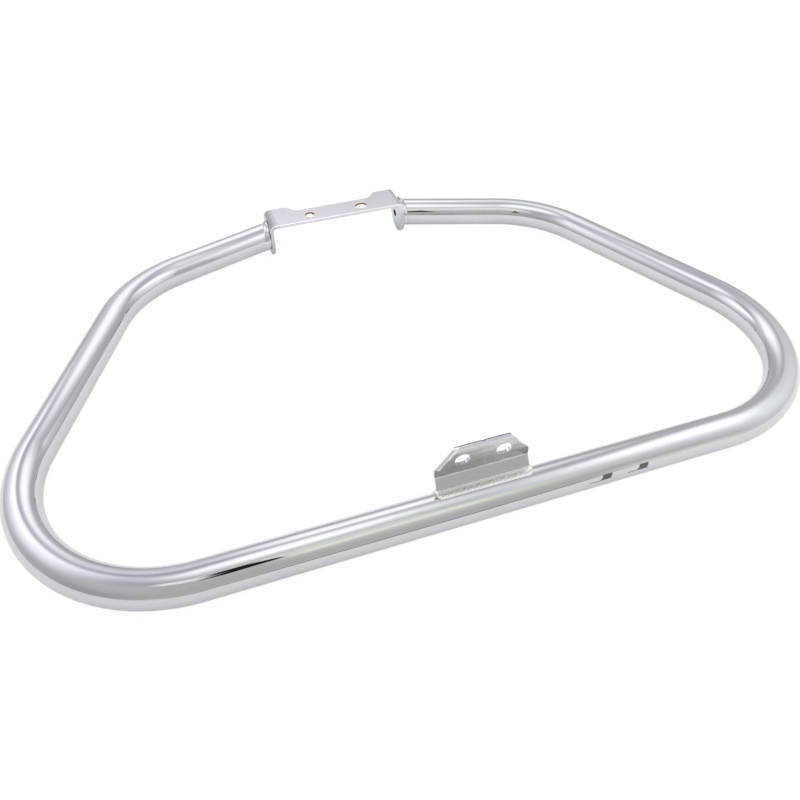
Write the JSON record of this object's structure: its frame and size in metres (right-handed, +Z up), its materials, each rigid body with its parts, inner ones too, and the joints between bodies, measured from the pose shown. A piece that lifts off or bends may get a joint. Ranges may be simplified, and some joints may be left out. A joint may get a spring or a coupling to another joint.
{
  "type": "motorcycle engine guard",
  "caption": "Bent chrome tube loop with a folded strap bracket closing its top and a slotted tab on its long lower run. It bolts to a motorcycle frame and shields the engine in a fall.",
  "frame": {"origin": "on the ground under the middle of the guard's outline, with the guard lying flat", "axes": "+X across the guard to its right-hand side, +Y from the lower run to the upper bracket, +Z up out of the loop's plane"},
  "size_m": [0.7404, 0.4908, 0.0753],
  "materials": {
    "tube_chrome": "polished",
    "strap_chrome": "satin",
    "tab_chrome": "dull",
    "weld_chrome": "rough"
  },
  "bodies": {
    "root": {"guard_tube": "tube_chrome", "upper_bracket": "strap_chrome", "upper_left_weld": "weld_chrome", "upper_right_weld": "weld_chrome", "lower_bracket": "tab_chrome", "lower_weld": "weld_chrome"}
  },
  "joints": []
}
